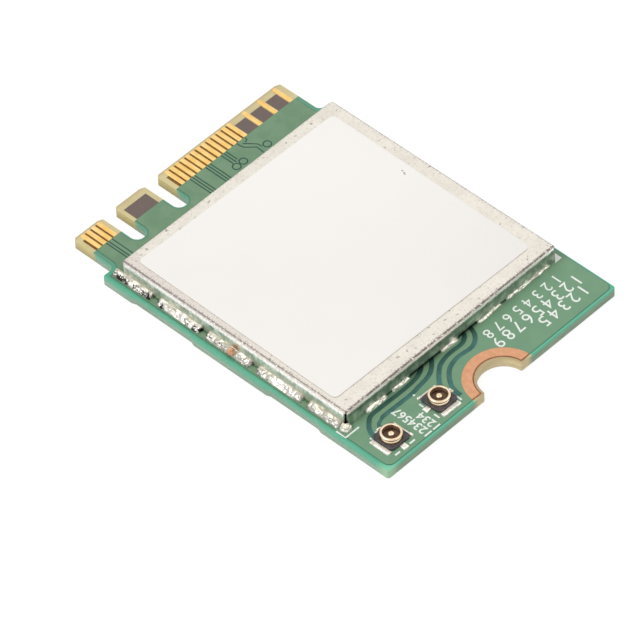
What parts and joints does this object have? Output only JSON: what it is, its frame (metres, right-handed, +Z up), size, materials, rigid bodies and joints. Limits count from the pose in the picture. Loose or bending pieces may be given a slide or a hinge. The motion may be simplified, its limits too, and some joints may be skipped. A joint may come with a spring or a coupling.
{
  "type": "laptop wireless network card",
  "caption": "Small plug-in wireless card: keyed circuit board with edge contacts, soldered metal shield with a blank label, and coaxial antenna jacks beside a screw notch.",
  "frame": {"origin": "centre of the card's 22 by 30 mm outline, on the plane that the underside's contacts and screw land lie in", "axes": "+X along the contact edge towards the highest contact number, +Y out of the contact edge in the direction of insertion, +Z up on the side that carries the shield"},
  "size_m": [0.022, 0.03, 0.0022],
  "materials": {
    "circuit_board": "satin",
    "shield": "satin",
    "label": "satin",
    "solder": "gloss",
    "jack_housing": "matte",
    "jack_metal": "gloss",
    "black_resin": "matte",
    "ferrite": "matte",
    "crystal_can": "satin",
    "ceramic": "matte",
    "capacitor_clay": "matte"
  },
  "bodies": {
    "root": {"amplifier_1": "black_resin", "amplifier_2": "black_resin", "antenna_jack_1_contact": "jack_metal", "antenna_jack_1_housing": "jack_housing", "antenna_jack_1_shell": "jack_metal", "antenna_jack_2_contact": "jack_metal", "antenna_jack_2_housing": "jack_housing", "antenna_jack_2_shell": "jack_metal", "band_filter_1": "ceramic", "band_filter_2": "ceramic", "blank_label": "label", "capacitor_1": "capacitor_clay", "capacitor_2": "capacitor_clay", "capacitor_3": "capacitor_clay", "capacitor_4": "capacitor_clay", "capacitor_5": "capacitor_clay", "capacitor_6": "capacitor_clay", "capacitor_7": "capacitor_clay", "capacitor_8": "capacitor_clay", "circuit_board": "circuit_board", "crystal": "crystal_can", "flash_memory": "black_resin", "power_inductor": "ferrite", "radio_chip": "black_resin", "resistor_1": "black_resin", "resistor_2": "black_resin", "resistor_3": "black_resin", "resistor_4": "black_resin", "shield_can": "shield", "solder_back_1": "solder", "solder_back_2": "solder", "solder_back_3": "solder", "solder_back_4": "solder", "solder_corner": "solder", "solder_front_1": "solder", "solder_front_2": "solder", "solder_front_3": "solder", "solder_front_4": "solder", "solder_front_5": "solder", "solder_left_1": "solder", "solder_left_2": "solder", "solder_left_3": "solder", "solder_left_4": "solder", "solder_left_5": "solder", "solder_right_1": "solder", "solder_right_2": "solder", "solder_right_3": "solder", "solder_right_4": "solder", "solder_right_5": "solder", "voltage_regulator": "black_resin"}
  },
  "joints": []
}
